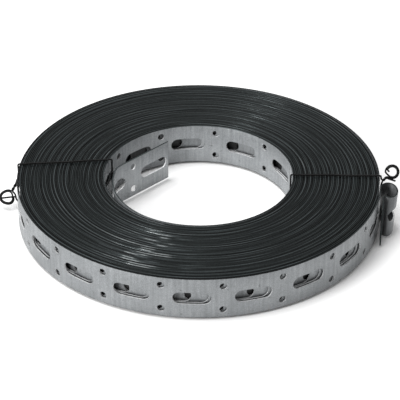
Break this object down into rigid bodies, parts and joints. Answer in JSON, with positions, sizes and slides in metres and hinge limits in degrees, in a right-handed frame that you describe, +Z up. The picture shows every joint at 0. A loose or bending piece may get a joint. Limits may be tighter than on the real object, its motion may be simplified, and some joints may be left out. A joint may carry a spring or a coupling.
{
  "type": "roll of perforated metal strap",
  "caption": "Coil of punched galvanised steel strap with slots and nail holes, lying flat and held by two twisted tie wires.",
  "frame": {"origin": "on the coil's axis, in the plane of the lowest strap edges, one wire thickness above the floor", "axes": "+Z up along the coil's axis, +X towards the folded outer end, -X towards the tie wire beside the flat tail"},
  "size_m": [0.2784, 0.2514, 0.0383],
  "materials": {
    "galvanised_strap": "dull galvanised, dark at the slit edges",
    "annealed_wire": "black annealed, dull"
  },
  "bodies": {
    "root": {"strap": "galvanised_strap", "tie_wire_left": "annealed_wire", "tie_wire_right": "annealed_wire"}
  },
  "joints": []
}
